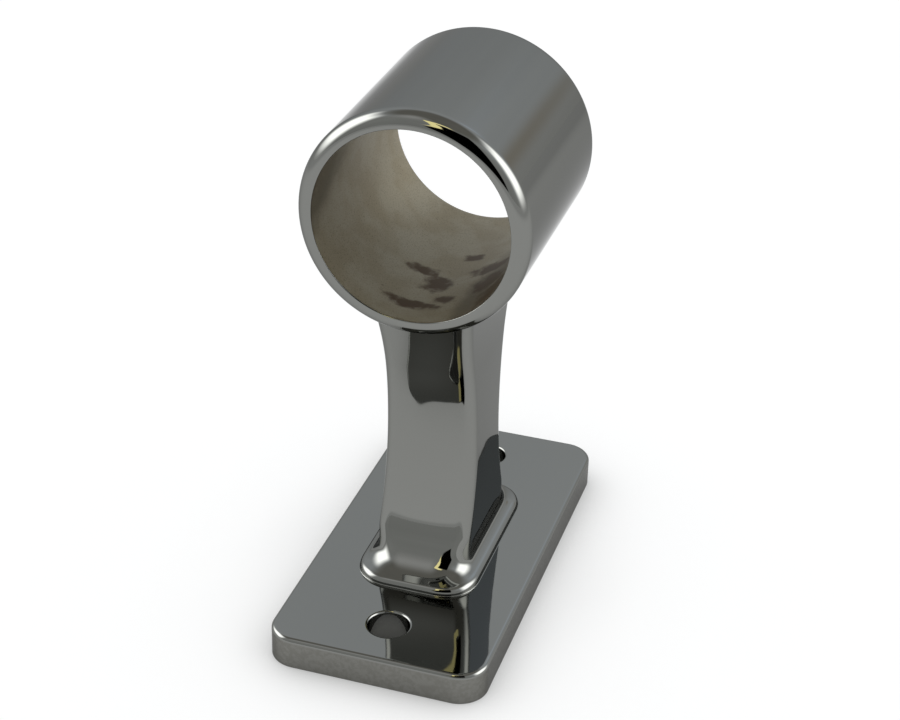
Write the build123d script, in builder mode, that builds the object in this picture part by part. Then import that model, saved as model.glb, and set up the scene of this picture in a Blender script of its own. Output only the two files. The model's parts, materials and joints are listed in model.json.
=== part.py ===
from build123d import *
import math
import os

# Handrail bracket, cast in one piece: a screw-down plate, a waisted stem on a low foot pad, and
# a collar that the rail tube slides through. X runs across the rail, Y along it, and Z up from
# the mounting face, with the origin at that face's middle. Millimetres and degrees throughout.

# Plate
plate_length = 76.2
plate_width = 38.1
plate_thickness = 5.8
plate_corner_radius = 5.1
plate_edge_radius = 0.8

# Screw holes, on the plate's long centre line, with eased mouths
screw_spacing = 57.15
screw_hole_diameter = 7.1
screw_hole_chamfer = 0.4

# Rail tube and the collar around it
rail_diameter = 31.75
rail_clearance = 0.45
collar_wall = 2.85
collar_length = 41.6
collar_lip_radius = 2.5
rail_height = 76.2

# Stem from the side: a long waist arc, a tighter toe arc at the foot, and a straight flare that
# reaches the collar a little way in from its ends. Drops are measured down from the rail's axis
waist_half_depth = 8.5
waist_drop = 46.7
waist_radius = 47.0
flare_setback = 6.0
toe_radius = 11.0
toe_angle = 68.3

# Stem along the rail: a heel arc at the foot, a slight taper, and a swelling at the neck
stem_half_width = 8.4
stem_taper_angle = 0.85
heel_radius = 2.4
heel_angle = 70.0
neck_drop = 31.2
neck_radius = 90.0

# Foot pad: it shows as a narrow ledge around the stem's flared end
pad_height = 1.3
pad_ledge = 0.55
pad_corner_radius = 3.0
pad_edge_chamfer = 0.4

# Rounding of the stem's ridges, and the blend under the collar
ridge_radius = 2.0
collar_blend_radius = 2.2

# How closely an edge has to match a position to be picked
tolerance = 0.01

# Sizes that follow from the ones above
bore_radius = rail_diameter / 2 + rail_clearance
collar_radius = bore_radius + collar_wall
pad_top = plate_thickness + pad_height
stem_top = rail_height - bore_radius / 2
waist_height = rail_height - waist_drop
neck_height = rail_height - neck_drop


def on_circle(centre, radius, angle):
    """Point on a circle, at an angle above the direction that points back to the stem."""
    return centre + Vector(-math.cos(math.radians(angle)), math.sin(math.radians(angle))) * radius


def on_ridge(edge):
    """Tell whether an edge of the stem is one of its four upright ridges."""
    middle = edge.position_at(0.5)
    return abs(middle.X) > stem_half_width / 2 and abs(middle.Y) > waist_half_depth / 2


def at_height(height):
    """Filter that keeps the edges whose middle lies at a height above the mounting face."""
    return lambda edge: abs(edge.position_at(0.5).Z - height) < tolerance


def at_collar_end(edge):
    """Tell whether an edge lies in the plane of one of the collar's ends."""
    return abs(abs(edge.position_at(0.5).Y) - collar_length / 2) < tolerance


def around_neck(edge):
    """Tell whether an edge runs over the collar's surface, between the collar's ends."""
    middle = edge.position_at(0.5)
    off_surface = math.hypot(middle.X, middle.Z - rail_height) - collar_radius
    return abs(off_surface) < tolerance and middle.Z < rail_height - tolerance and not at_collar_end(edge)


# Side outline, half of it: the flare is the tangent from its point on the collar's underside to
# the waist circle, and the toe circle touches the waist circle from inside
waist_centre = Vector(waist_half_depth + waist_radius, waist_height)
flare_point = Vector(collar_length / 2 - flare_setback, rail_height - collar_radius)
flare_reach = waist_centre - flare_point
flare_bearing = math.atan2(-flare_reach.Y, flare_reach.X)
flare_angle = math.degrees(flare_bearing - math.acos(waist_radius / flare_reach.length))
waist_end = on_circle(waist_centre, waist_radius, flare_angle)
flare_end = flare_point + Vector(math.tan(math.radians(flare_angle)), 1) * (stem_top - flare_point.Y)
toe_rise = toe_radius * math.sin(math.radians(toe_angle))
toe_start_angle = math.degrees(math.asin((waist_height - pad_top - toe_rise) / (waist_radius - toe_radius)))
toe_start = on_circle(waist_centre, waist_radius, -toe_start_angle)
toe_centre = on_circle(toe_start, -toe_radius, -toe_start_angle)
toe_middle = on_circle(toe_centre, toe_radius, -(toe_start_angle + toe_angle) / 2)
toe_end = on_circle(toe_centre, toe_radius, -toe_angle)

# Outline along the rail, half of it
heel_rise = heel_radius * math.sin(math.radians(heel_angle))
heel_centre = Vector(stem_half_width + heel_radius, pad_top + heel_rise)
heel_end = on_circle(heel_centre, heel_radius, -heel_angle)
heel_middle = on_circle(heel_centre, heel_radius, -heel_angle / 2)
heel_start = on_circle(heel_centre, heel_radius, stem_taper_angle)
taper_inset = (neck_height - heel_start.Y) * math.tan(math.radians(stem_taper_angle))
neck_start = Vector(heel_start.X - taper_inset, neck_height)
neck_centre = on_circle(neck_start, -neck_radius, -stem_taper_angle)
neck_end_angle = math.degrees(math.asin((stem_top - neck_centre.Y) / neck_radius))
neck_middle = on_circle(neck_centre, neck_radius, (neck_end_angle - stem_taper_angle) / 2)
neck_end = on_circle(neck_centre, neck_radius, neck_end_angle)

with BuildPart() as stem:
    # the side outline gives the faces that look along the rail
    with BuildSketch(Plane.YZ):
        with BuildLine():
            Polyline((0, plate_thickness), (toe_end.X, plate_thickness), toe_end)
            ThreePointArc(toe_end, toe_middle, toe_start)
            ThreePointArc(toe_start, on_circle(waist_centre, waist_radius, 0), waist_end)
            Polyline(waist_end, flare_end, (0, stem_top), (0, plate_thickness))
        make_face()
        mirror(about=Plane.YZ)
    extrude(amount=heel_end.X, both=True)
    # the outline along the rail trims it to width
    with BuildSketch(Plane.XZ):
        with BuildLine():
            Polyline((0, plate_thickness), (heel_end.X, plate_thickness), heel_end)
            ThreePointArc(heel_end, heel_middle, heel_start)
            Line(heel_start, neck_start)
            ThreePointArc(neck_start, neck_middle, neck_end)
            Polyline(neck_end, (0, stem_top), (0, plate_thickness))
        make_face()
        mirror(about=Plane.YZ)
    extrude(amount=toe_end.X, both=True, mode=Mode.INTERSECT)
    fillet(stem.edges().filter_by(on_ridge), ridge_radius)

with BuildPart() as bracket_body:
    # plate
    with BuildSketch():
        RectangleRounded(plate_width, plate_length, plate_corner_radius)
    extrude(amount=plate_thickness)
    fillet(bracket_body.faces().sort_by(Axis.Z)[-1].edges(), plate_edge_radius)
    # screw holes
    with Locations(Plane.XY.offset(plate_thickness)):
        with GridLocations(0, screw_spacing, 1, 2):
            Hole(screw_hole_diameter / 2)
    hole_edges = bracket_body.edges(Select.LAST).filter_by(GeomType.CIRCLE)
    chamfer(hole_edges.filter_by(at_height(plate_thickness)), screw_hole_chamfer)
    # foot pad
    with BuildSketch(Plane.XY.offset(plate_thickness)):
        RectangleRounded(2 * (heel_end.X + pad_ledge), 2 * (toe_end.X + pad_ledge), pad_corner_radius)
    extrude(amount=pad_height)
    chamfer(bracket_body.edges(Select.LAST).filter_by(at_height(pad_top)), pad_edge_chamfer)
    add(stem.part)
    # collar, a solid bar until the stem is blended into it
    with BuildSketch(Plane.XZ.offset(-collar_length / 2)):
        with Locations((0, rail_height)):
            Circle(collar_radius)
    extrude(amount=collar_length)
    fillet(bracket_body.edges(Select.LAST).filter_by(around_neck), collar_blend_radius)
    fillet(bracket_body.edges().filter_by(GeomType.CIRCLE).filter_by(at_collar_end), collar_lip_radius)
    # bore for the rail
    with BuildSketch(Plane.XZ.offset(-collar_length / 2)):
        with Locations((0, rail_height)):
            Circle(bore_radius)
    extrude(amount=collar_length, mode=Mode.SUBTRACT)

bracket_body.part.label = "bracket_body"
os.makedirs("parts", exist_ok=True)
export_step(bracket_body.part, "parts/bracket_body.step")
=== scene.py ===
"""Looks of a polished handrail bracket: a plate, a waisted stem on a low pad, and an open collar."""

from __future__ import annotations

import json
import logging
from dataclasses import dataclass
from enum import Enum

import bpy
import numpy as np
from bpy.types import Material, Node, NodeSocket, NodeTree, Object
from mathutils import Matrix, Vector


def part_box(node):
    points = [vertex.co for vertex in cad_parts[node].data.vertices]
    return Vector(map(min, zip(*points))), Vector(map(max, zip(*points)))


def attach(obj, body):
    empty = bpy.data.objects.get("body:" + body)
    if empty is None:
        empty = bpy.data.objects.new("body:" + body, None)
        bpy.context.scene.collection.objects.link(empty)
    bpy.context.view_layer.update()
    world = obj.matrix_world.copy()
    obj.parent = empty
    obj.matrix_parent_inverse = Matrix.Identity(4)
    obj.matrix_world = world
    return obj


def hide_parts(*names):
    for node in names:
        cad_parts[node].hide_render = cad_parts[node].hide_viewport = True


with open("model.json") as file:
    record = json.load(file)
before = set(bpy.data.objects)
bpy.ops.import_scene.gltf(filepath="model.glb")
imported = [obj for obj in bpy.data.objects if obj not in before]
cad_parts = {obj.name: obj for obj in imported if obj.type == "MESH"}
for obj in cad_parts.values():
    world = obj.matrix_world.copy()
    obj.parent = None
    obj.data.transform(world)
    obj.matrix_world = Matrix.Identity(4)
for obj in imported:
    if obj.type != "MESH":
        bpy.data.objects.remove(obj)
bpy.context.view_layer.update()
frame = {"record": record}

log = logging.getLogger("handrail_bracket")

MM = 0.001
BODY = "root"
NODE = "bracket_body"
# Two points closer than this are one vertex
WELD_GAP = 1e-4 * MM
# The noise hardly leaves this range
NOISE_LOW, NOISE_HIGH = 0.3, 0.7

Triple = tuple[float, float, float]
# A patch of finish: its centre, and how far it reaches along each axis
Spot = tuple[Triple, Triple]
# Where a step starts and ends, or the levels it joins
Step = tuple[float, float]


class Skin(Enum):
    """Which finish a patch of a piece wears, as the number of its material slot."""

    POLISHED = 0
    DULL = 1


class Level(Enum):
    """How bright a card is, where 1 is the white of the paper."""

    LIGHT = 5.2
    STRIP = 3.2
    SKY = 1.25
    WALL = 0.9
    DARK = 0.62
    BLACK = 0.0


# Mesh tools


def smooth_step(value: np.ndarray) -> np.ndarray:
    """Rise softly from 0 to 1 as the value does: 3t^2 - 2t^3, with t the value held between 0 and 1."""
    t = np.clip(value, 0.0, 1.0)
    return t * t * (3.0 - 2.0 * t)


def smooth_curve(at: np.ndarray, stations: np.ndarray) -> np.ndarray:
    """Curve through stations, a cubic between each pair that keeps the slopes at both ends.

    Args:
        at: Places to look at.
        stations: Rows of (place, value, slope), in order of place.

    Returns:
        The straight line between two stations, plus t(1-t) times the mix of both slope errors.
    """
    place, value, slope = stations.T
    first = np.clip(np.searchsorted(place, at) - 1, 0, len(place) - 2)
    span = place[first + 1] - place[first]
    rise = value[first + 1] - value[first]
    t = (at - place[first]) / span
    start, end = slope[first] * span - rise, rise - slope[first + 1] * span
    return value[first] + t * rise + t * (1 - t) * ((1 - t) * start + t * end)


def quarter_turn(count: int) -> np.ndarray:
    """Angles of a quarter circle in radians, both ends included, in count steps."""
    return np.linspace(0.0, np.pi / 2, count + 1)


@dataclass
class Patch:
    """A grid of points that becomes four-sided faces.

    Attributes:
        points: Array of rows x columns x 3.
        closed: Whether the last column joins the first.
        skin: The finish that its faces wear.
    """

    points: np.ndarray
    closed: bool = False
    skin: Skin = Skin.POLISHED

    def faces(self) -> np.ndarray:
        """Corner numbers of every face.

        Returns:
            Array of faces x 4, counting the points row by row.
        """
        rows, columns = self.points.shape[:2]
        number = np.arange(rows * columns).reshape(rows, columns)
        if self.closed:
            number = np.concatenate([number, number[:, :1]], axis=1)
        corners = [number[:-1, :-1], number[:-1, 1:], number[1:, 1:], number[1:, :-1]]
        return np.stack(corners, axis=-1).reshape(-1, 4)


def weld(patches: list[Patch]) -> tuple[np.ndarray, np.ndarray, np.ndarray]:
    """Join patches into one shell by merging the points that coincide.

    Args:
        patches: Grids whose shared borders have the same points.

    Returns:
        The points, the faces as four corner numbers each, and each face's material slot.
    """
    points, faces, slots, start = [], [], [], 0
    for patch in patches:
        flat = patch.points.reshape(-1, 3)
        corners = patch.faces() + start
        points.append(flat)
        faces.append(corners)
        slots.append(np.full(len(corners), patch.skin.value))
        start += len(flat)
    every = np.concatenate(points)
    keys = np.round(every / WELD_GAP).astype(np.int64)
    _, first, inverse = np.unique(keys, axis=0, return_index=True, return_inverse=True)
    return every[first], inverse.reshape(-1)[np.concatenate(faces)], np.concatenate(slots)


def polygons(corners: np.ndarray, slots: np.ndarray) -> tuple[list[list[int]], np.ndarray]:
    """Turn the faces beside a pole into triangles and drop those without area.

    Args:
        corners: Array of faces x 4 corner numbers.
        slots: Each face's material slot.

    Returns:
        The faces as lists of corner numbers, and their material slots in the same order.
    """
    doubled = corners == np.roll(corners, -1, axis=1)
    repeats = doubled.sum(axis=1)
    full, pinched = repeats == 0, repeats == 1
    turn = (np.argmax(doubled[pinched], axis=1)[:, None] + np.arange(1, 4)) % 4
    triangles = np.take_along_axis(corners[pinched], turn, axis=1)
    return corners[full].tolist() + triangles.tolist(), np.concatenate([slots[full], slots[pinched]])


def make_piece(name: str, patches: list[Patch], materials: list[Material]) -> Object:
    """Build one smooth-shaded piece at the origin that stands for the casting's solid.

    Args:
        name: The piece's name.
        patches: Its surfaces in metres, in the frame's own axes.
        materials: Its materials, in the order of Skin.

    Returns:
        The object, riding on the bracket's only body.
    """
    points, corners, slots = weld(patches)
    faces, slots = polygons(corners, slots)
    mesh = bpy.data.meshes.new(name)
    mesh.from_pydata(points.tolist(), [], faces)
    for material in materials:
        mesh.materials.append(material)
    mesh.polygons.foreach_set("material_index", slots.astype(np.int32))
    mesh.polygons.foreach_set("use_smooth", np.ones(len(faces), dtype=bool))
    mesh.update()
    piece = bpy.data.objects.new(name, mesh)
    bpy.context.scene.collection.objects.link(piece)
    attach(piece, BODY)
    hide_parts(NODE)
    return piece


# Finishes


def new_material(name: str) -> tuple[Material, NodeTree, Node]:
    """Make a material with a shader that is joined to the output.

    Args:
        name: The material's name.

    Returns:
        The material, its node tree and its main shader node.
    """
    material = bpy.data.materials.new(name)
    material.use_nodes = True
    tree = material.node_tree
    return material, tree, tree.nodes["Principled BSDF"]


def fill(node: Node, values: dict[str, float | tuple[float, ...]]) -> None:
    """Set plain values on a node's own sockets.

    Args:
        node: Any node.
        values: The values by their sockets' names, with colours as three numbers.
    """
    for name, value in values.items():
        socket = node.inputs[name]
        socket.default_value = (*value, 1.0) if socket.type == "RGBA" else value


def noise(tree: NodeTree, size: float, detail: float, space: str = "Object") -> NodeSocket:
    """Add soft noise.

    Args:
        tree: The node tree.
        size: The length of its waves, in metres or as a part of the direction looked in.
        detail: How many finer layers it has.
        space: The coordinates it is laid out in, by their name in Blender.

    Returns:
        The noise, mostly between NOISE_LOW and NOISE_HIGH.
    """
    place = tree.nodes.new("ShaderNodeTexCoord")
    texture = tree.nodes.new("ShaderNodeTexNoise")
    fill(texture, {"Scale": 1.0 / size, "Detail": detail})
    tree.links.new(place.outputs[space], texture.inputs["Vector"])
    return texture.outputs["Fac"]


def ramp(
    tree: NodeTree, value: NodeSocket, step: Step, levels: Step = (0.0, 1.0), kind: str = "SMOOTHSTEP"
) -> NodeSocket:
    """Add a step from one level to another, 3t^2 - 2t^3 of the way at the share t of the step.

    Args:
        tree: The node tree.
        value: The value that decides.
        step: The values at which the step starts and ends.
        levels: The levels there.
        kind: The form of the step, by its name in Blender. A linear one goes t of the way.

    Returns:
        The level.
    """
    node = tree.nodes.new("ShaderNodeMapRange")
    node.interpolation_type = kind
    fill(node, dict(zip(("From Min", "From Max", "To Min", "To Max"), (*step, *levels))))
    tree.links.new(value, node.inputs["Value"])
    return node.outputs["Result"]


def arithmetic(tree: NodeTree, operation: str, *values: NodeSocket | float) -> NodeSocket:
    """Add a calculation with sockets and plain numbers.

    Args:
        tree: The node tree.
        operation: The kind of calculation, by its name in Blender.
        values: What it works on, in order.

    Returns:
        The result.
    """
    node = tree.nodes.new("ShaderNodeMath")
    node.operation = operation
    for socket, value in zip(node.inputs, values):
        if isinstance(value, NodeSocket):
            tree.links.new(value, socket)
        else:
            socket.default_value = value
    return node.outputs[0]


def blended(
    tree: NodeTree, value: NodeSocket, step: Step, first: NodeSocket | Triple, second: Triple
) -> NodeSocket:
    """Add a soft change from one colour to another.

    Args:
        tree: The node tree.
        value: The value that decides.
        step: The values at which the change starts and ends.
        first: The colour where it starts, a plain one or a socket.
        second: The colour where it ends.

    Returns:
        The mixed colour.
    """
    mix = tree.nodes.new("ShaderNodeMix")
    mix.data_type = "RGBA"
    tree.links.new(ramp(tree, value, step), mix.inputs["Factor"])
    fill(mix, {"B": second})
    if isinstance(first, tuple):
        fill(mix, {"A": first})
    else:
        tree.links.new(first, mix.inputs["A"])
    return mix.outputs["Result"]


def relief(tree: NodeTree, shader: Node, height: NodeSocket, depth: float) -> None:
    """Add a shading relief to the main shader.

    Args:
        tree: The material's node tree.
        shader: The main shader.
        height: The relief's shape, from 0 to 1.
        depth: How deep it is, in metres.
    """
    bump = tree.nodes.new("ShaderNodeBump")
    fill(bump, {"Distance": depth})
    tree.links.new(height, bump.inputs["Height"])
    tree.links.new(bump.outputs["Normal"], shader.inputs["Normal"])


@dataclass(frozen=True)
class MirrorPolish:
    """Chrome plate polished by hand to a mirror, with a trace of waviness left in it."""

    colour: Triple = (0.208, 0.211, 0.2)
    edge_tint: float = 0.49
    roughness: float = 0.035
    wave_length: float = 5.0 * MM
    wave_height: float = 0.008 * MM

    def material(self) -> Material:
        """Make the mirror: one colour all over, and a relief of soft noise.

        Returns:
            The material.
        """
        material, tree, shader = new_material("polished_chrome")
        relief(tree, shader, noise(tree, self.wave_length, detail=1.0), self.wave_height)
        tint = (self.edge_tint,) * 3
        fill(
            shader,
            {"Base Color": self.colour, "Metallic": 1.0, "Specular Tint": tint, "Roughness": self.roughness},
        )
        return material


@dataclass(frozen=True)
class GroundEdge:
    """Plated but less polished side faces of the plate."""

    colour: Triple = (0.198, 0.197, 0.183)
    hollow_colour: Triple = (0.176, 0.174, 0.16)
    hollow_step: Step = (0.62, 0.4)
    edge_tint: float = 0.5
    roughness: float = 0.24
    mottle_size: float = 0.7 * MM
    mottle_depth: float = 0.006 * MM

    def material(self) -> Material:
        """Make the ground finish: a duller colour in the hollows of a fine noise.

        Returns:
            The material.
        """
        material, tree, shader = new_material("ground_edge")
        mottle = noise(tree, self.mottle_size, detail=4.0)
        colour = blended(tree, mottle, self.hollow_step, self.colour, self.hollow_colour)
        tree.links.new(colour, shader.inputs["Base Color"])
        relief(tree, shader, mottle, self.mottle_depth)
        fill(shader, {"Metallic": 1.0, "Specular Tint": (self.edge_tint,) * 3, "Roughness": self.roughness})
        return material


@dataclass(frozen=True)
class SatinBore:
    """Bare machined metal inside the collar, with stains from its first fitting, and painted shade inside the
    front-left rim.
    """

    rail_height: float
    colour: Triple = (0.31, 0.28, 0.205)
    tan: Triple = (0.265, 0.23, 0.155)
    # Colour of the painted shade at the front-left and of the darker patch at the lower right
    shade_and_dark: Triple = (0.15, 0.13, 0.088)
    brown: Triple = (0.066, 0.037, 0.011)
    # Where painted shade darkens it inside the front-left rim, where it is darker towards the lower right, and where
    # it is stained, in millimetres from the middle of the bore
    shade_and_dark_spots: tuple[Spot, ...] = (
        # Painted shade inside the front-left rim
        ((-17.5, -21.0, 6.0), (7.0, 19.0, 13.0)),
        # Darker towards the lower right
        ((13.0, -14.0, -11.0), (10.0, 24.0, 11.0)),
    )
    stains: tuple[Spot, ...] = (
        ((0.5, -6.8, -16.3), (5.0, 5.6, 4.0)),
        ((-3.4, -3.2, -16.0), (4.8, 2.6, 4.0)),
        ((-1.6, -15.0, -16.2), (9.0, 2.6, 4.0)),
        ((3.2, -12.4, -16.0), (4.0, 3.0, 4.0)),
        ((3.6, 3.6, -16.0), (3.6, 2.6, 4.0)),
        ((8.6, -2.4, -13.8), (8.0, 4.0, 6.0)),
        ((9.8, -9.0, -13.2), (6.0, 6.6, 6.0)),
        ((12.2, -16.0, -11.0), (5.6, 8.0, 6.0)),
    )
    cloud_size: float = 7.0 * MM
    grain_size: float = 0.22 * MM
    fray_size: float = 1.7 * MM
    speck_size: float = 0.3 * MM
    tan_step: Step = (0.38, 0.62)
    shade_and_dark_step: Step = (0.36, 0.7)
    grain_step: Step = (0.45, 1.05)
    stain_step: Step = (0.76, 1.16)
    speck_step: Step = (0.7, 0.86)
    # How much of the noise is added to a spot's nearness, to break up its edge
    shade_and_dark_fray: float = 0.5
    stain_fray: float = 0.9
    metallic: float = 0.45
    specular: float = 0.2
    roughness: float = 0.5

    def nearness(self, tree: NodeTree, spot: Spot) -> NodeSocket:
        """Work out how near a point is to the middle of a spot.

        Args:
            tree: The material's node tree.
            spot: The spot, in millimetres from the middle of the bore.

        Returns:
            1 less the distance from the middle as a share of the reach, and 0 beyond the reach.
        """
        (x, y, z), reach = spot
        place = tree.nodes.new("ShaderNodeTexCoord")
        mapping = tree.nodes.new("ShaderNodeMapping")
        mapping.vector_type = "TEXTURE"
        middle = (x * MM, y * MM, self.rail_height + z * MM)
        fill(mapping, {"Location": middle, "Scale": tuple(size * MM for size in reach)})
        ball = tree.nodes.new("ShaderNodeTexGradient")
        ball.gradient_type = "SPHERICAL"
        tree.links.new(place.outputs["Object"], mapping.inputs["Vector"])
        tree.links.new(mapping.outputs["Vector"], ball.inputs["Vector"])
        return ball.outputs["Fac"]

    def material(self) -> Material:
        """Make the satin finish: tan clouds, painted shade at the front-left and a darker patch at the lower right,
        grain, frayed stains, and specks on top.

        Returns:
            The material.
        """
        material, tree, shader = new_material("satin_bore")
        cloud = noise(tree, self.cloud_size, detail=5.0)
        fray = noise(tree, self.fray_size, detail=3.0)
        grain = noise(tree, self.grain_size, detail=2.0)
        speck = noise(tree, self.speck_size, detail=1.0)
        colour = blended(tree, cloud, self.tan_step, self.colour, self.tan)
        # Painted shade at the front-left, then the darker patch at the lower right
        for spot in self.shade_and_dark_spots:
            share = arithmetic(tree, "MULTIPLY_ADD", cloud, self.shade_and_dark_fray, self.nearness(tree, spot))
            colour = blended(tree, share, self.shade_and_dark_step, colour, self.shade_and_dark)
        colour = blended(tree, grain, self.grain_step, colour, self.brown)
        for spot in self.stains:
            share = arithmetic(tree, "MULTIPLY_ADD", fray, self.stain_fray, self.nearness(tree, spot))
            colour = blended(tree, share, self.stain_step, colour, self.brown)
        colour = blended(tree, speck, self.speck_step, colour, self.brown)
        tree.links.new(colour, shader.inputs["Base Color"])
        fill(shader, {"Metallic": self.metallic, "Specular IOR Level": self.specular, "Roughness": self.roughness})
        return material


# Outlines


def mirrored_loop(quarter_x: np.ndarray, quarter_y: np.ndarray, height: np.ndarray) -> np.ndarray:
    """Mirror a quarter outline across both axes into a whole loop.

    Args:
        quarter_x: Rows x columns of x, from the middle of the +X side to the middle of the +Y end.
        quarter_y: The same for y.
        height: Rows x columns of height on that quarter.

    Returns:
        Rows x loop columns x 3, anticlockwise from the middle of the +X side.
    """
    back = slice(None, 0, -1)
    x = [quarter_x[:, :-1], -quarter_x[:, back], -quarter_x[:, :-1], quarter_x[:, back]]
    y = [quarter_y[:, :-1], quarter_y[:, back], -quarter_y[:, :-1], -quarter_y[:, back]]
    z = [height[:, :-1], height[:, back]] * 2
    return np.stack([np.concatenate(part, axis=1) for part in (x, y, z)], axis=-1)


# Plate


@dataclass
class Plate:
    """Screw-down plate with rounded corners, an eased upper edge and two screw holes."""

    half_length: float
    thickness: float
    hole_offset: float
    hole_radius: float
    half_width: float = 19.05 * MM
    corner_radius: float = 5.1 * MM
    edge_radius: float = 0.8 * MM
    foot_radius: float = 0.15 * MM
    mouth_radius: float = 0.45 * MM
    side_steps: int = 16
    corner_steps: int = 24
    edge_steps: int = 10
    foot_steps: int = 3
    mouth_steps: int = 8
    # Rows of points, as shares of the way: up the wall, from the rim to the hole, down the hole
    wall_rows: tuple[float, ...] = (0.02, 0.1, 0.5, 0.9, 0.98, 1.0)
    face_rows: tuple[float, ...] = (0.0, 0.002, 0.015, 0.08, 0.25, 0.5, 0.75, 0.92, 0.985, 0.998)
    hole_rows: tuple[float, ...] = (0.03, 0.5, 0.97, 1.0)

    def outline(self, inset: np.ndarray, height: np.ndarray) -> np.ndarray:
        """Rounded rectangle for each row: straight sides, and quarter circles at the corners.

        Args:
            inset: How far each row lies inside the plate's outline.
            height: Each row's height.

        Returns:
            Rows x columns x 3, anticlockwise from the middle of the +X side.
        """
        radius = self.corner_radius
        turn = quarter_turn(self.corner_steps)
        run = np.linspace(0.0, 1.0, self.side_steps + 1)[:-1]
        flat_x, flat_y = self.half_width - radius, self.half_length - radius
        reach = (radius - inset)[:, None]
        level = np.ones(run.size + turn.size)
        centre_x = flat_x * np.concatenate([level, run[::-1]])
        centre_y = flat_y * np.concatenate([run, level])
        out_x = np.pad(np.cos(turn), run.size, constant_values=(1.0, 0.0))
        out_y = np.pad(np.sin(turn), run.size, constant_values=(0.0, 1.0))
        x, y = centre_x + out_x * reach, centre_y + out_y * reach
        return mirrored_loop(x, y, np.broadcast_to(height[:, None], x.shape))

    def wall(self) -> Patch:
        """Side wall: a small quarter circle up from the underside, then straight up.

        Returns:
            A grid with a row for each height.
        """
        foot = quarter_turn(self.foot_steps)
        share = np.array(self.wall_rows)
        low, high = self.foot_radius, self.thickness - self.edge_radius
        inset = np.concatenate([self.foot_radius * (1 - np.sin(foot)), np.zeros_like(share)])
        height = np.concatenate([self.foot_radius * (1 - np.cos(foot)), low + (high - low) * share])
        return Patch(self.outline(inset, height), closed=True, skin=Skin.DULL)

    def eased_edge(self) -> Patch:
        """Quarter-round edge from the side wall to the top face.

        Returns:
            A grid with a row for each step of the quarter circle.
        """
        turn = quarter_turn(self.edge_steps)
        inset = self.edge_radius * (1 - np.cos(turn))
        height = self.thickness - self.edge_radius * (1 - np.sin(turn))
        return Patch(self.outline(inset, height), closed=True)

    def border(self, inset: float, height: float) -> np.ndarray:
        """Edge of the front half of a flat face, round the front end and back along y = 0.

        Args:
            inset: How far the edge lies inside the plate's outline.
            height: The face's height.

        Returns:
            Columns x 3, anticlockwise.
        """
        ring = self.outline(np.array([inset]), np.array([height]))[0]
        half = len(ring) // 2
        arc = np.concatenate([ring[half:], ring[:1]])
        across = np.linspace(arc[-1], arc[0], 2 * self.side_steps + 1)[1:-1]
        return np.concatenate([arc, across])

    def half(self, front: bool) -> Patch:
        """Half of the plate: in straight lines over the top face to the hole, down, and back below.

        Args:
            front: Whether it is the half with the front hole.

        Returns:
            A grid with a column for each point of the border.
        """
        upper = self.border(self.edge_radius, self.thickness)
        lower = self.border(self.foot_radius, 0.0)
        centre = np.array([0.0, -self.hole_offset, 0.0])
        ray = (upper - centre) * np.array([1.0, 1.0, 0.0])
        ray /= np.linalg.norm(ray, axis=1, keepdims=True)
        turn = quarter_turn(self.mouth_steps)
        down = 1 - np.array(self.hole_rows)
        mouth_radius = self.hole_radius + self.mouth_radius * (1 - np.sin(turn))
        radius = np.concatenate([mouth_radius, np.full_like(down, self.hole_radius)])
        straight = self.thickness - self.mouth_radius
        height = np.concatenate([straight + self.mouth_radius * np.cos(turn), straight * down])
        wall = centre + ray * radius[:, None, None] + height[:, None, None] * np.array([0.0, 0.0, 1.0])
        share = np.array(self.face_rows)[:, None, None]
        top = upper + (wall[0] - upper) * share
        under = (lower + (wall[-1] - lower) * share)[::-1]
        grid = np.concatenate([top, wall, under])
        return Patch(grid if front else grid * np.array([-1.0, -1.0, 1.0]), closed=True)

    def build(self, metal: Material, edge: Material) -> Object:
        """Build the plate.

        Args:
            metal: The material on top.
            edge: The material of the side faces.

        Returns:
            The finished piece.
        """
        patches = [self.wall(), self.eased_edge(), self.half(True), self.half(False)]
        return make_piece("plate", patches, [metal, edge])


# Stem


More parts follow.
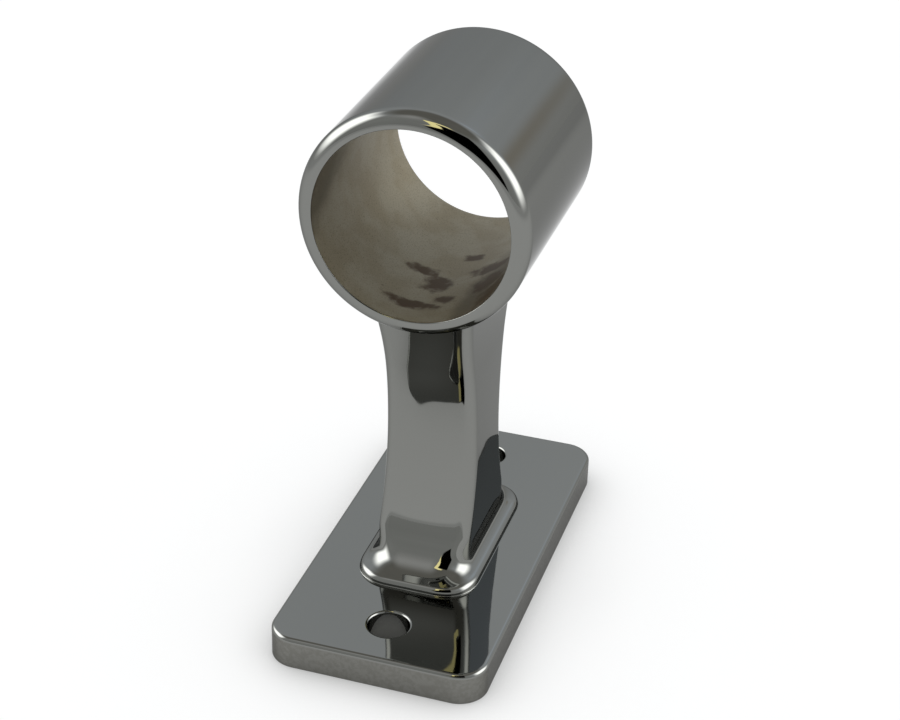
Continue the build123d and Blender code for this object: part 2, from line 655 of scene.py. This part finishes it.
@dataclass
class Stem:
    """Waisted stem, with the low pad at its foot and the blend under the collar in one skin."""

    rail_height: float
    collar_radius: float
    plate_thickness: float
    waist_half_depth: float = 8.5 * MM
    waist_drop: float = 46.7 * MM
    waist_radius: float = 47.0 * MM
    # The flare above the waist: (drop from the rail's axis, half depth, slope)
    flare: tuple[tuple[float, float, float], ...] = (
        (46.7 * MM, 8.5 * MM, 0.0),
        (37.4 * MM, 9.25 * MM, 0.156),
        (30.4 * MM, 10.9 * MM, 0.32),
        (19.175 * MM, 14.83 * MM, 0.394),
    )
    toe_radius: float = 11.0 * MM
    toe_angle: float = 68.3
    half_width: float = 8.4 * MM
    taper_angle: float = 0.85
    heel_radius: float = 2.4 * MM
    heel_angle: float = 70.0
    neck_drop: float = 31.2 * MM
    neck_radius: float = 90.0 * MM
    pad_height: float = 1.3 * MM
    pad_ledge: float = 0.78 * MM
    root_radius: float = 0.12 * MM
    ridge_radius: float = 2.5 * MM
    # Towards the pad the ridges widen into soft shoulders, over this height above its top
    shoulder_radius: float = 3.9 * MM
    shoulder_start: float = 0.7 * MM
    shoulder_end: float = 6.4 * MM
    ridge_softness: float = 2.4
    front_crown: float = 62.0 * MM
    crown_start: float = 6.0 * MM
    crown_end: float = 24.0 * MM
    side_crown: float = 400.0 * MM
    blend_radius: float = 2.2 * MM
    # The skin starts this far down inside the plate
    root_depth: float = 0.3 * MM
    # Past the blend the skin runs on for these lengths, sinks this far, and ends on a hidden cap
    tail_runs: tuple[float, ...] = (0.12 * MM, 0.25 * MM)
    tail_sinks: tuple[float, ...] = (0.006 * MM, 0.03 * MM)
    cap_depth: float = 1.2 * MM
    cap_rows: tuple[float, ...] = (0.96, 0.6, 0.3, 0.0)
    side_steps: int = 26
    corner_steps: int = 22
    hollow_steps: int = 5
    rim_steps: int = 11
    height_steps: int = 170
    blend_steps: int = 24
    # The drops from the rail's axis between which the blend's contact is sought
    search_drops: tuple[float, float] = (32.0 * MM, 10.0 * MM)
    search_steps: int = 699
    measure_steps: int = 2999

    def __post_init__(self) -> None:
        """Work out where the arcs of both outlines meet."""
        self.pad_top = self.plate_thickness + self.pad_height
        # side outline, as (half depth, height): the waist circle below, the flare above
        self.waist_centre = np.array([self.waist_half_depth + self.waist_radius, self.rail_height - self.waist_drop])
        self.flare_stations = np.array([(self.rail_height - drop, depth, slope) for drop, depth, slope in self.flare])
        # the toe circle touches the waist circle from inside
        toe_rise = self.toe_radius * np.sin(np.radians(self.toe_angle))
        drop = self.waist_centre[1] - self.pad_top - toe_rise
        toe_turn = np.arcsin(drop / (self.waist_radius - self.toe_radius))
        away = (self.waist_radius - self.toe_radius) * np.array([-np.cos(toe_turn), -np.sin(toe_turn)])
        self.toe_centre = self.waist_centre + away
        self.toe_top = self.waist_centre[1] - self.waist_radius * np.sin(toe_turn)
        # outline along the rail, as (half width, height)
        taper, heel = np.radians(self.taper_angle), np.radians(self.heel_angle)
        self.heel_centre = np.array(
            [self.half_width + self.heel_radius, self.pad_top + self.heel_radius * np.sin(heel)]
        )
        self.heel_top = self.heel_centre[1] + self.heel_radius * np.sin(taper)
        self.heel_width = self.heel_centre[0] - self.heel_radius * np.cos(taper)
        self.neck_height = self.rail_height - self.neck_drop
        neck_width = self.heel_width - (self.neck_height - self.heel_top) * np.tan(taper)
        self.neck_centre = np.array([neck_width, self.neck_height])
        self.neck_centre += self.neck_radius * np.array([np.cos(taper), np.sin(taper)])

    @staticmethod
    def arc(centre: np.ndarray, radius: float, height: np.ndarray) -> np.ndarray:
        """Distance out to the near side of a circle: its centre's, less half the chord at the height."""
        return centre[0] - np.sqrt(np.maximum(radius**2 - (height - centre[1]) ** 2, 0.0))

    def depth_at(self, height: np.ndarray) -> np.ndarray:
        """Half depth along the rail: the toe circle, the waist circle, then the flare's curve.

        Args:
            height: Heights to look at.

        Returns:
            The half depth at each.
        """
        toe = self.arc(self.toe_centre, self.toe_radius, height)
        waist = self.arc(self.waist_centre, self.waist_radius, height)
        flare = smooth_curve(height, self.flare_stations)
        return np.select([height < self.toe_top, height < self.waist_centre[1]], [toe, waist], flare)

    def width_at(self, height: np.ndarray) -> np.ndarray:
        """Half width across the rail: the heel circle, a straight taper, then the neck circle.

        Args:
            height: Heights to look at.

        Returns:
            The half width at each.
        """
        heel = self.arc(self.heel_centre, self.heel_radius, height)
        taper = self.heel_width - (height - self.heel_top) * np.tan(np.radians(self.taper_angle))
        neck = self.arc(self.neck_centre, self.neck_radius, height)
        return np.select([height < self.heel_top, height < self.neck_height], [heel, taper], neck)

    def ridge_at(self, height: np.ndarray) -> np.ndarray:
        """Reach of the ridges' rounding: even above, and a soft step wider at the foot."""
        fall = (self.pad_top + self.shoulder_end - height) / (self.shoulder_end - self.shoulder_start)
        return self.ridge_radius + self.shoulder_radius * smooth_step(fall)

    def section(
        self, half_x: np.ndarray, half_y: np.ndarray, ridge: np.ndarray, crown: np.ndarray, height: np.ndarray
    ) -> np.ndarray:
        """Softly rounded rectangle for each row: crowned sides joined by superellipse corners.

        Each side is a parabola that stands proud of the straight line between its ends. A corner
        starts and ends along those parabolas: with Q where their tangents cross, its points are
        Q + (1 - sin^e t)(A - Q) + (1 - cos^e t)(B - Q), for t from 0 to a quarter turn.

        Args:
            half_x: Half width, rows x 1 or rows x quarter columns.
            half_y: Half depth, in the same form.
            ridge: Reach of the corner's rounding, in the same form.
            crown: How much of the crown shows, from 0 to 1, in the same form.
            height: Height, in the same form.

        Returns:
            Rows x loop columns x 3.
        """
        run = np.linspace(0.0, 1.0, self.side_steps + 1)[:-1]
        turn = quarter_turn(self.corner_steps)
        power = 2.0 / self.ridge_softness
        along = np.concatenate([run, np.ones_like(turn), run[::-1]])
        to_side = np.pad(1 - np.sin(turn) ** power, run.size)
        to_end = np.pad(1 - np.abs(np.cos(turn)) ** power, run.size)
        column = np.arange(along.size)
        on_side, on_end = column < run.size, column >= run.size + turn.size
        curve_x, curve_y = crown / self.side_crown, crown / self.front_crown
        flat_x, flat_y = half_x - ridge, half_y - ridge
        lean_x, lean_y = flat_y * curve_x, flat_x * curve_y
        meet_x = (half_x - lean_x * ridge - lean_x * lean_y * flat_x) / (1 - lean_x * lean_y)
        meet_y = half_y - lean_y * (meet_x - flat_x)
        corner_x = meet_x + to_side * (half_x - meet_x) + to_end * (flat_x - meet_x)
        corner_y = meet_y + to_side * (flat_y - meet_y) + to_end * (half_y - meet_y)
        side_x = half_x + (1 - along**2) * flat_y**2 * curve_x / 2
        end_y = half_y + (1 - along**2) * flat_x**2 * curve_y / 2
        x = np.where(on_side, side_x, np.where(on_end, along * flat_x, corner_x))
        y = np.where(on_side, along * flat_y, np.where(on_end, end_y, corner_y))
        return mirrored_loop(x, y, np.broadcast_to(height, x.shape))

    def skin(self, height: np.ndarray) -> np.ndarray:
        """Points of the stem's own surface, before it is blended.

        Args:
            height: Rows x quarter columns of height, or rows x 1.

        Returns:
            Rows x loop columns x 3.
        """
        rise = (height - self.pad_top - self.crown_start) / (self.crown_end - self.crown_start)
        crown = smooth_step(rise)
        return self.section(self.width_at(height), self.depth_at(height), self.ridge_at(height), crown, height)

    def pad(self) -> np.ndarray:
        """Pad: a hollow at the plate and a round rim that turns into the stem's foot.

        The rim's arc stops at the angle at which the toe sets off, so that the skin stays smooth.

        Returns:
            Rows x loop columns x 3, from inside the plate up to the row below the pad's top.
        """
        hollow = quarter_turn(self.hollow_steps)
        rim = np.linspace(0.0, np.radians(self.toe_angle), self.rim_steps + 1)
        radius = self.pad_ledge / (1 - np.cos(rim[-1]))
        out = np.concatenate([
            [self.root_radius],
            self.root_radius * (1 - np.sin(hollow)),
            -radius * (1 - np.cos(rim)),
        ])
        height = np.concatenate([
            [self.plate_thickness - self.root_depth],
            self.plate_thickness + self.root_radius * (1 - np.cos(hollow)),
            self.pad_top - radius * (np.sin(rim[-1]) - np.sin(rim)),
        ])
        top = np.array(self.pad_top)
        out = out + self.pad_ledge
        sizes = [self.width_at(top) + out, self.depth_at(top) + out, self.ridge_at(top) + out]
        columns = [part[:, None] for part in (*sizes, np.zeros_like(out), height)]
        return self.section(*columns)

    def ball_contact(self) -> tuple[np.ndarray, np.ndarray, np.ndarray]:
        """Roll a ball along the corner between the stem and the collar.

        The ball touches the stem, so its centre is one radius off the stem's skin. Going up each
        column, it touches the collar where that centre is one radius off the collar too.

        Returns:
            For each loop column: the contact's height, the ball's centre, and the stem's normal.
        """
        levels = self.rail_height - np.linspace(*self.search_drops, self.search_steps + 1)
        surface = self.skin(levels[:, None])
        upward = np.gradient(surface, axis=0)
        wrapped = np.concatenate([surface[:, -1:], surface, surface[:, :1]], axis=1)
        around = wrapped[:, 2:] - wrapped[:, :-2]
        normal = np.cross(around, upward)
        normal /= np.linalg.norm(normal, axis=-1, keepdims=True)
        centre = surface + self.blend_radius * normal
        gap = np.hypot(centre[..., 0], centre[..., 2] - self.rail_height) - self.collar_radius - self.blend_radius
        above = np.argmax(gap < 0.0, axis=0)
        column = np.arange(surface.shape[1])
        upper, lower = gap[above, column], gap[above - 1, column]
        share = (lower / (lower - upper))[:, None]
        height = levels[above - 1] + (levels[1] - levels[0]) * share[:, 0]
        ball = centre[above - 1, column] * (1 - share) + centre[above, column] * share
        lean = normal[above - 1, column] * (1 - share) + normal[above, column] * share
        return height, ball, lean / np.linalg.norm(lean, axis=-1, keepdims=True)

    def blend(self, ball: np.ndarray, normal: np.ndarray) -> np.ndarray:
        """Hollow blend: on every column, an arc of the ball from the stem to the collar.

        Args:
            ball: The ball's centre for each loop column.
            normal: The stem's normal there.

        Returns:
            Rows x loop columns x 3. The last rows sink just under the collar's surface.
        """
        axis = ball * np.array([0.0, 1.0, 0.0]) + np.array([0.0, 0.0, self.rail_height])
        to_collar = axis - ball
        to_collar /= np.linalg.norm(to_collar, axis=-1, keepdims=True)
        angle = np.arccos(np.clip(np.sum(-normal * to_collar, axis=-1), -1.0, 1.0))[None, :, None]
        share = np.linspace(0.0, 1.0, self.blend_steps + 1)[1:, None, None]
        start, end = np.sin((1 - share) * angle), np.sin(share * angle)
        direction = (-normal * start + to_collar * end) / np.sin(angle)
        arc = ball + self.blend_radius * direction
        onward = (to_collar * np.cos(angle) + normal) / np.sin(angle)
        run, sink = (np.array(part)[:, None, None] for part in (self.tail_runs, self.tail_sinks))
        tail = arc[-1] + onward * run + to_collar * sink
        return np.concatenate([arc, tail])

    def build(self, metal: Material) -> Object:
        """Build the stem with its pad and blend, closed inside the plate and inside the collar.

        The rows of its body are spread evenly along the outline's length.

        Args:
            metal: The material it wears.

        Returns:
            The finished piece.
        """
        contact, ball, normal = self.ball_contact()
        quarter = self.side_steps * 2 + self.corner_steps + 1
        top = contact[:quarter]
        middle = np.linspace(self.pad_top, contact.mean(), self.measure_steps + 1)
        steps = np.hypot(np.diff(middle), np.diff(self.depth_at(middle)) + np.diff(self.width_at(middle)) / 2)
        length = np.concatenate([[0.0], np.cumsum(steps)])
        even = np.interp(np.linspace(0.0, length[-1], self.height_steps + 1), length, middle)
        share = ((even - self.pad_top) / (contact.mean() - self.pad_top))[:, None]
        body = self.skin(self.pad_top + (top - self.pad_top) * share)
        rows = [self.pad()[:-1], body, self.blend(ball, normal)]
        cap = rows[-1][-1] * np.array(self.cap_rows)[:, None, None]
        cap[..., 2] = self.rail_height - np.sqrt((self.collar_radius - self.cap_depth) ** 2 - cap[..., 0] ** 2)
        bottom = rows[0][:1] * np.array([0.0, 0.5])[:, None, None]
        bottom[..., 2] = self.plate_thickness - self.root_depth
        return make_piece("stem", [Patch(np.concatenate([bottom, *rows, cap]), closed=True)], [metal])


# Collar


@dataclass
class Collar:
    """Open round collar with full lips, and a satin bore for the rail tube."""

    rail_height: float
    radius: float
    bore_radius: float
    half_length: float
    lip_radius: float = 2.5 * MM
    edge_radius: float = 0.15 * MM
    turn_steps: int = 420
    lip_steps: int = 26
    edge_steps: int = 3
    bore_steps: int = 60

    def end_profile(self) -> np.ndarray:
        """One end of the wall, from the outside over the lip and the flat end into the bore.

        Returns:
            Points as (distance along the rail, radius): a quarter circle, a line, a small quarter.
        """
        lip, edge = quarter_turn(self.lip_steps), quarter_turn(self.edge_steps)
        along = [
            self.half_length - self.lip_radius * (1 - np.sin(lip)),
            self.half_length - self.edge_radius * (1 - np.cos(edge)),
        ]
        radius = [
            self.radius - self.lip_radius * (1 - np.cos(lip)),
            self.bore_radius + self.edge_radius * (1 - np.sin(edge)),
        ]
        return np.stack([np.concatenate(along), np.concatenate(radius)], axis=-1)

    def revolve(self, profile: np.ndarray, skin: Skin) -> Patch:
        """Turn a profile about the rail's axis.

        Args:
            profile: Points as (place along the rail, radius).
            skin: The finish it wears.

        Returns:
            A grid with a row for each point of the profile.
        """
        turn = np.linspace(0.0, 2 * np.pi, self.turn_steps, endpoint=False)
        along, radius = profile[:, :1], profile[:, 1:]
        x = radius * np.cos(turn)
        z = self.rail_height + radius * np.sin(turn)
        return Patch(np.stack([x, np.broadcast_to(along, x.shape), z], axis=-1), closed=True, skin=skin)

    def build(self, metal: Material, satin: Material) -> Object:
        """Build the collar.

        Args:
            metal: The material outside.
            satin: The material inside the bore.

        Returns:
            The finished piece.
        """
        end = self.end_profile()
        front = end * np.array([-1.0, 1.0])
        share = np.linspace(0.0, 1.0, self.bore_steps + 1)[:, None]
        outside = end[0] + (front[0] - end[0]) * share
        bore = front[-1] + (end[-1] - front[-1]) * share
        patches = [
            self.revolve(outside, Skin.POLISHED),
            self.revolve(front, Skin.POLISHED),
            self.revolve(bore, Skin.DULL),
            self.revolve(end[::-1], Skin.POLISHED),
        ]
        return make_piece("collar", patches, [metal, satin])


# Studio


@dataclass(frozen=True)
class Card:
    """Sheet bent round the bracket, which shows only in its reflections.

    Its two long edges are lists of (bearing, elevation) in degrees as seen from the collar, with
    bearing 0 in front and positive towards +X. The sheet is the straight mix of both edges.
    """

    name: str
    left: tuple[tuple[float, float], ...]
    right: tuple[tuple[float, float], ...]
    level: Level
    colour: Triple = (1.0, 1.0, 1.0)
    distance: float = 1.2
    softness: float = 0.5
    steps: int = 23
    least_glow: float = 0.02

    def build(self, eye: Triple) -> Object:
        """Build the sheet, with a glow at each point that falls to nothing within its soft border.

        Args:
            eye: The point that its bearings are seen from.

        Returns:
            The stage object.
        """
        share = np.linspace(0.0, 1.0, self.steps + 1)
        edges = []
        for edge in (self.left, self.right):
            stations = np.linspace(0.0, 1.0, len(edge))
            edges.append(np.stack([np.interp(share, stations, np.array(edge)[:, k]) for k in (0, 1)], axis=-1))
        mix = share[None, :, None]
        bearing, elevation = np.moveaxis(np.radians(edges[0][:, None] * (1 - mix) + edges[1][:, None] * mix), -1, 0)
        ring = np.cos(elevation)
        way = np.stack([np.sin(bearing) * ring, -np.cos(bearing) * ring, np.sin(elevation)], axis=-1)
        sheet = Patch(np.array(eye) + self.distance * way)
        mesh = bpy.data.meshes.new(self.name)
        mesh.from_pydata(sheet.points.reshape(-1, 3).tolist(), [], sheet.faces().tolist())
        fade = smooth_step(np.minimum(share, 1 - share) / self.softness + self.least_glow)
        glow = (fade[:, None] * fade[None, :]).reshape(-1)
        mesh.attributes.new("glow", "FLOAT", "POINT").data.foreach_set("value", glow.astype(np.float32))
        mesh.polygons.foreach_set("use_smooth", np.ones(len(mesh.polygons), dtype=bool))
        mesh.materials.append(self.material())
        card = bpy.data.objects.new(self.name, mesh)
        bpy.context.scene.collection.objects.link(card)
        card.visible_camera = False
        card.visible_diffuse = False
        card.visible_shadow = False
        return card

    def material(self) -> Material:
        """Even light of one level, which fades out towards the sheet's edges.

        Returns:
            The material.
        """
        material, tree, _ = new_material(self.name)
        nodes, links = tree.nodes, tree.links
        nodes.clear()
        glow = nodes.new("ShaderNodeAttribute")
        glow.attribute_name = "glow"
        light = nodes.new("ShaderNodeEmission")
        fill(light, {"Color": self.colour, "Strength": self.level.value})
        clear = nodes.new("ShaderNodeBsdfTransparent")
        mix = nodes.new("ShaderNodeMixShader")
        output = nodes.new("ShaderNodeOutputMaterial")
        links.new(glow.outputs["Fac"], mix.inputs["Fac"])
        links.new(clear.outputs[0], mix.inputs[1])
        links.new(light.outputs[0], mix.inputs[2])
        links.new(mix.outputs[0], output.inputs["Surface"])
        return material


@dataclass
class Studio:
    """Plain pale floor, pale walls and the soft lights and dark opening that the metal mirrors."""

    eye: Triple
    floor_half: float = 4.0
    floor_paint: float = 0.5
    floor_glow: float = 0.7
    # Within this reach of the bracket, ambient occlusion darkens the glow into a painted contact shade
    painted_shade_reach: float = 30.0 * MM
    # The paper dims between these distances from the bracket, down to this share of its glow
    dimming: Step = (0.36, 0.8)
    far_share: float = 0.66
    # The walls' colours, and where each takes over, as a part of the direction looked in
    horizon: Triple = (0.78, 0.785, 0.78)
    wall: Triple = (0.87, 0.905, 0.945)
    wall_step: Step = (0.0, 0.25)
    front_wall: Triple = (0.6, 0.61, 0.6)
    front_step: Step = (-0.1, -0.6)
    ceiling: Triple = (0.37, 0.36, 0.33)
    ceiling_step: Step = (0.72, 0.9)
    # The walls' brightness wanders between these, in clouds of this size
    unevenness: Step = (0.92, 1.08)
    unevenness_size: float = 1 / 2.6
    cards: tuple[Card, ...] = (
        Card(
            "light_left",
            left=((-122, 2), (-122, 28), (-118, 55)),
            right=((-50, -4), (-48, 27), (-54, 52)),
            level=Level.LIGHT,
            distance=0.9,
            softness=0.3,
        ),
        Card(
            "light_right",
            left=((66, -4), (68, 26), (76, 57)),
            right=((140, -4), (142, 26), (136, 57)),
            level=Level.LIGHT,
            distance=0.9,
            softness=0.34,
        ),
        Card("upper_wall", left=((-62, 36), (-64, 76)), right=((-2, 38), (2, 74)), level=Level.WALL),
        Card(
            "far_door",
            left=((142, 2), (146, 20)),
            right=((162, 3), (160, 18)),
            level=Level.DARK,
            colour=(1.12, 1.05, 0.94),
        ),
        Card(
            "far_window",
            left=((148, 22), (148, 50)),
            right=((178, 22), (178, 50)),
            level=Level.SKY,
            colour=(0.86, 0.95, 1.08),
        ),
        Card(
            "opening",
            left=((-2, 2), (-6, 7), (-10, 12), (-12, 18), (-9, 25), (0, 33), (1, 42), (-3, 50)),
            right=((34, 2), (36, 6), (38, 13), (38, 22), (39, 31), (40, 40), (40, 46), (38, 52)),
            level=Level.BLACK,
            distance=0.25,
            softness=0.03,
        ),
        Card(
            "warm_strip",
            left=((-13, 21), (-7, 32), (-9, 43), (-15, 52), (0, 56), (19, 56)),
            right=((-7, 25), (1, 32), (3, 42), (-2, 49), (9, 51), (20, 51)),
            level=Level.STRIP,
            colour=(1.0, 0.88, 0.42),
            distance=0.252,
            softness=0.12,
        ),
    )

    def floor(self) -> Object:
        """Lay the floor: matt paper that keeps a shadow, and glows for camera and mirror rays, with painted contact
        shade darkening the glow near the bracket.

        Returns:
            The stage object.
        """
        half = self.floor_half
        mesh = bpy.data.meshes.new("floor")
        mesh.from_pydata([(-half, -half, 0), (half, -half, 0), (half, half, 0), (-half, half, 0)], [], [(0, 1, 2, 3)])
        material, tree, _ = new_material("floor_paper")
        nodes, links = tree.nodes, tree.links
        nodes.clear()
        rays = nodes.new("ShaderNodeLightPath").outputs
        seen = arithmetic(tree, "MAXIMUM", rays["Is Camera Ray"], rays["Is Glossy Ray"])
        seen = arithmetic(tree, "MAXIMUM", seen, rays["Is Transmission Ray"])
        # Painted contact shade: the glow is darkened where the bracket is near
        contact = nodes.new("ShaderNodeAmbientOcclusion")
        fill(contact, {"Distance": self.painted_shade_reach})
        seen = arithmetic(tree, "MULTIPLY", seen, contact.outputs["AO"])
        place = nodes.new("ShaderNodeTexCoord")
        radius = nodes.new("ShaderNodeVectorMath")
        radius.operation = "LENGTH"
        links.new(place.outputs["Object"], radius.inputs[0])
        far_glow = self.floor_glow * self.far_share
        level = ramp(tree, radius.outputs["Value"], self.dimming, (self.floor_glow, far_glow))
        glow = nodes.new("ShaderNodeEmission")
        links.new(arithmetic(tree, "MULTIPLY", seen, level), glow.inputs["Strength"])
        paper = nodes.new("ShaderNodeBsdfDiffuse")
        fill(paper, {"Color": (self.floor_paint,) * 3})
        both = nodes.new("ShaderNodeAddShader")
        output = nodes.new("ShaderNodeOutputMaterial")
        links.new(glow.outputs[0], both.inputs[0])
        links.new(paper.outputs[0], both.inputs[1])
        links.new(both.outputs[0], output.inputs["Surface"])
        mesh.materials.append(material)
        floor = bpy.data.objects.new("floor", mesh)
        bpy.context.scene.collection.objects.link(floor)
        return floor

    def walls(self) -> None:
        """Pale walls, a little darker in front, that turn into a darker ceiling overhead."""
        world = bpy.data.worlds.new("walls")
        world.use_nodes = True
        tree = world.node_tree
        nodes, links = tree.nodes, tree.links
        place = nodes.new("ShaderNodeTexCoord")
        split = nodes.new("ShaderNodeSeparateXYZ")
        links.new(place.outputs["Generated"], split.inputs[0])
        colour = self.horizon
        for axis, step, other in (
            ("Z", self.wall_step, self.wall),
            ("Y", self.front_step, self.front_wall),
            ("Z", self.ceiling_step, self.ceiling),
        ):
            colour = blended(tree, split.outputs[axis], step, colour, other)
        cloud = noise(tree, self.unevenness_size, detail=3.0, space="Generated")
        level = ramp(tree, cloud, (NOISE_LOW, NOISE_HIGH), self.unevenness, kind="LINEAR")
        links.new(level, nodes["Background"].inputs["Strength"])
        links.new(colour, nodes["Background"].inputs["Color"])
        bpy.context.scene.world = world

    def build(self) -> None:
        """Lay the floor, then set up the walls and hang the cards."""
        self.floor()
        self.walls()
        for card in self.cards:
            card.build(self.eye)


# Camera


@dataclass(frozen=True)
class PhotoCamera:
    """Camera at the photograph's place, worked out from the plate's and the collar's outlines."""

    azimuth: float = 16.9616
    elevation: float = 29.5546
    roll: float = 1.5839
    distance: float = 341.03 * MM
    target: Triple = (0.815 * MM, 0.0, 41.985 * MM)
    focal_pixels: float = 1987.92
    width_pixels: float = 900.0
    sensor_width: float = 36.0
    clip_start: float = 10.0 * MM

    def build(self) -> Object:
        """Place the camera: back from the target along its bearing, then rolled about its own axis.

        Returns:
            The scene's camera.
        """
        turn, rise, roll = (np.radians(angle) for angle in (self.azimuth, self.elevation, self.roll))
        back = np.array([np.sin(turn) * np.cos(rise), -np.cos(turn) * np.cos(rise), np.sin(rise)])
        level = np.cross([0.0, 0.0, 1.0], back)
        level /= np.linalg.norm(level)
        upright = np.cross(back, level)
        right = level * np.cos(roll) + upright * np.sin(roll)
        up = upright * np.cos(roll) - level * np.sin(roll)
        place = np.eye(4)
        place[:3, 0], place[:3, 1], place[:3, 2] = right, up, back
        place[:3, 3] = np.array(self.target) + back * self.distance
        data = bpy.data.cameras.new("photo_camera")
        data.sensor_width = self.sensor_width
        data.lens = self.focal_pixels * self.sensor_width / self.width_pixels
        data.clip_start = self.clip_start
        camera = bpy.data.objects.new("photo_camera", data)
        camera.matrix_world = Matrix(place.tolist())
        bpy.context.scene.collection.objects.link(camera)
        bpy.context.scene.camera = camera
        return camera


def mount(name: str) -> dict:
    """Find one of the record's mounts by its name."""
    return next(entry for entry in frame["record"]["mounts"] if entry["name"] == name)


def main() -> None:
    """Build the bracket, its stage and its camera."""
    logging.basicConfig(level=logging.INFO, format="%(name)s: %(message)s")
    bpy.context.scene.view_settings.view_transform = "Standard"
    _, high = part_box(NODE)
    bore, screws = mount("rail_bore"), mount("screw_holes")
    rail_height = bore["pos_m"][2]
    collar_half_length = bore["dims"]["length_mm"] * MM / 2
    collar_radius = high.z - rail_height
    thickness = screws["pos_m"][2]
    metal, edge, satin = MirrorPolish().material(), GroundEdge().material(), SatinBore(rail_height).material()
    plate = Plate(
        half_length=high.y,
        thickness=thickness,
        hole_offset=screws["dims"]["spacing_y_mm"] * MM / 2,
        hole_radius=screws["dims"]["hole_r_mm"] * MM,
    ).build(metal, edge)
    stem = Stem(rail_height, collar_radius, thickness).build(metal)
    collar = Collar(rail_height, collar_radius, bore["dims"]["r_mm"] * MM, collar_half_length).build(metal, satin)
    for piece in (plate, stem, collar):
        log.info("%s: %d faces", piece.name, len(piece.data.polygons))
    Studio(eye=(0.0, 0.0, rail_height)).build()
    PhotoCamera().build()


if __name__ == "__main__":
    main()
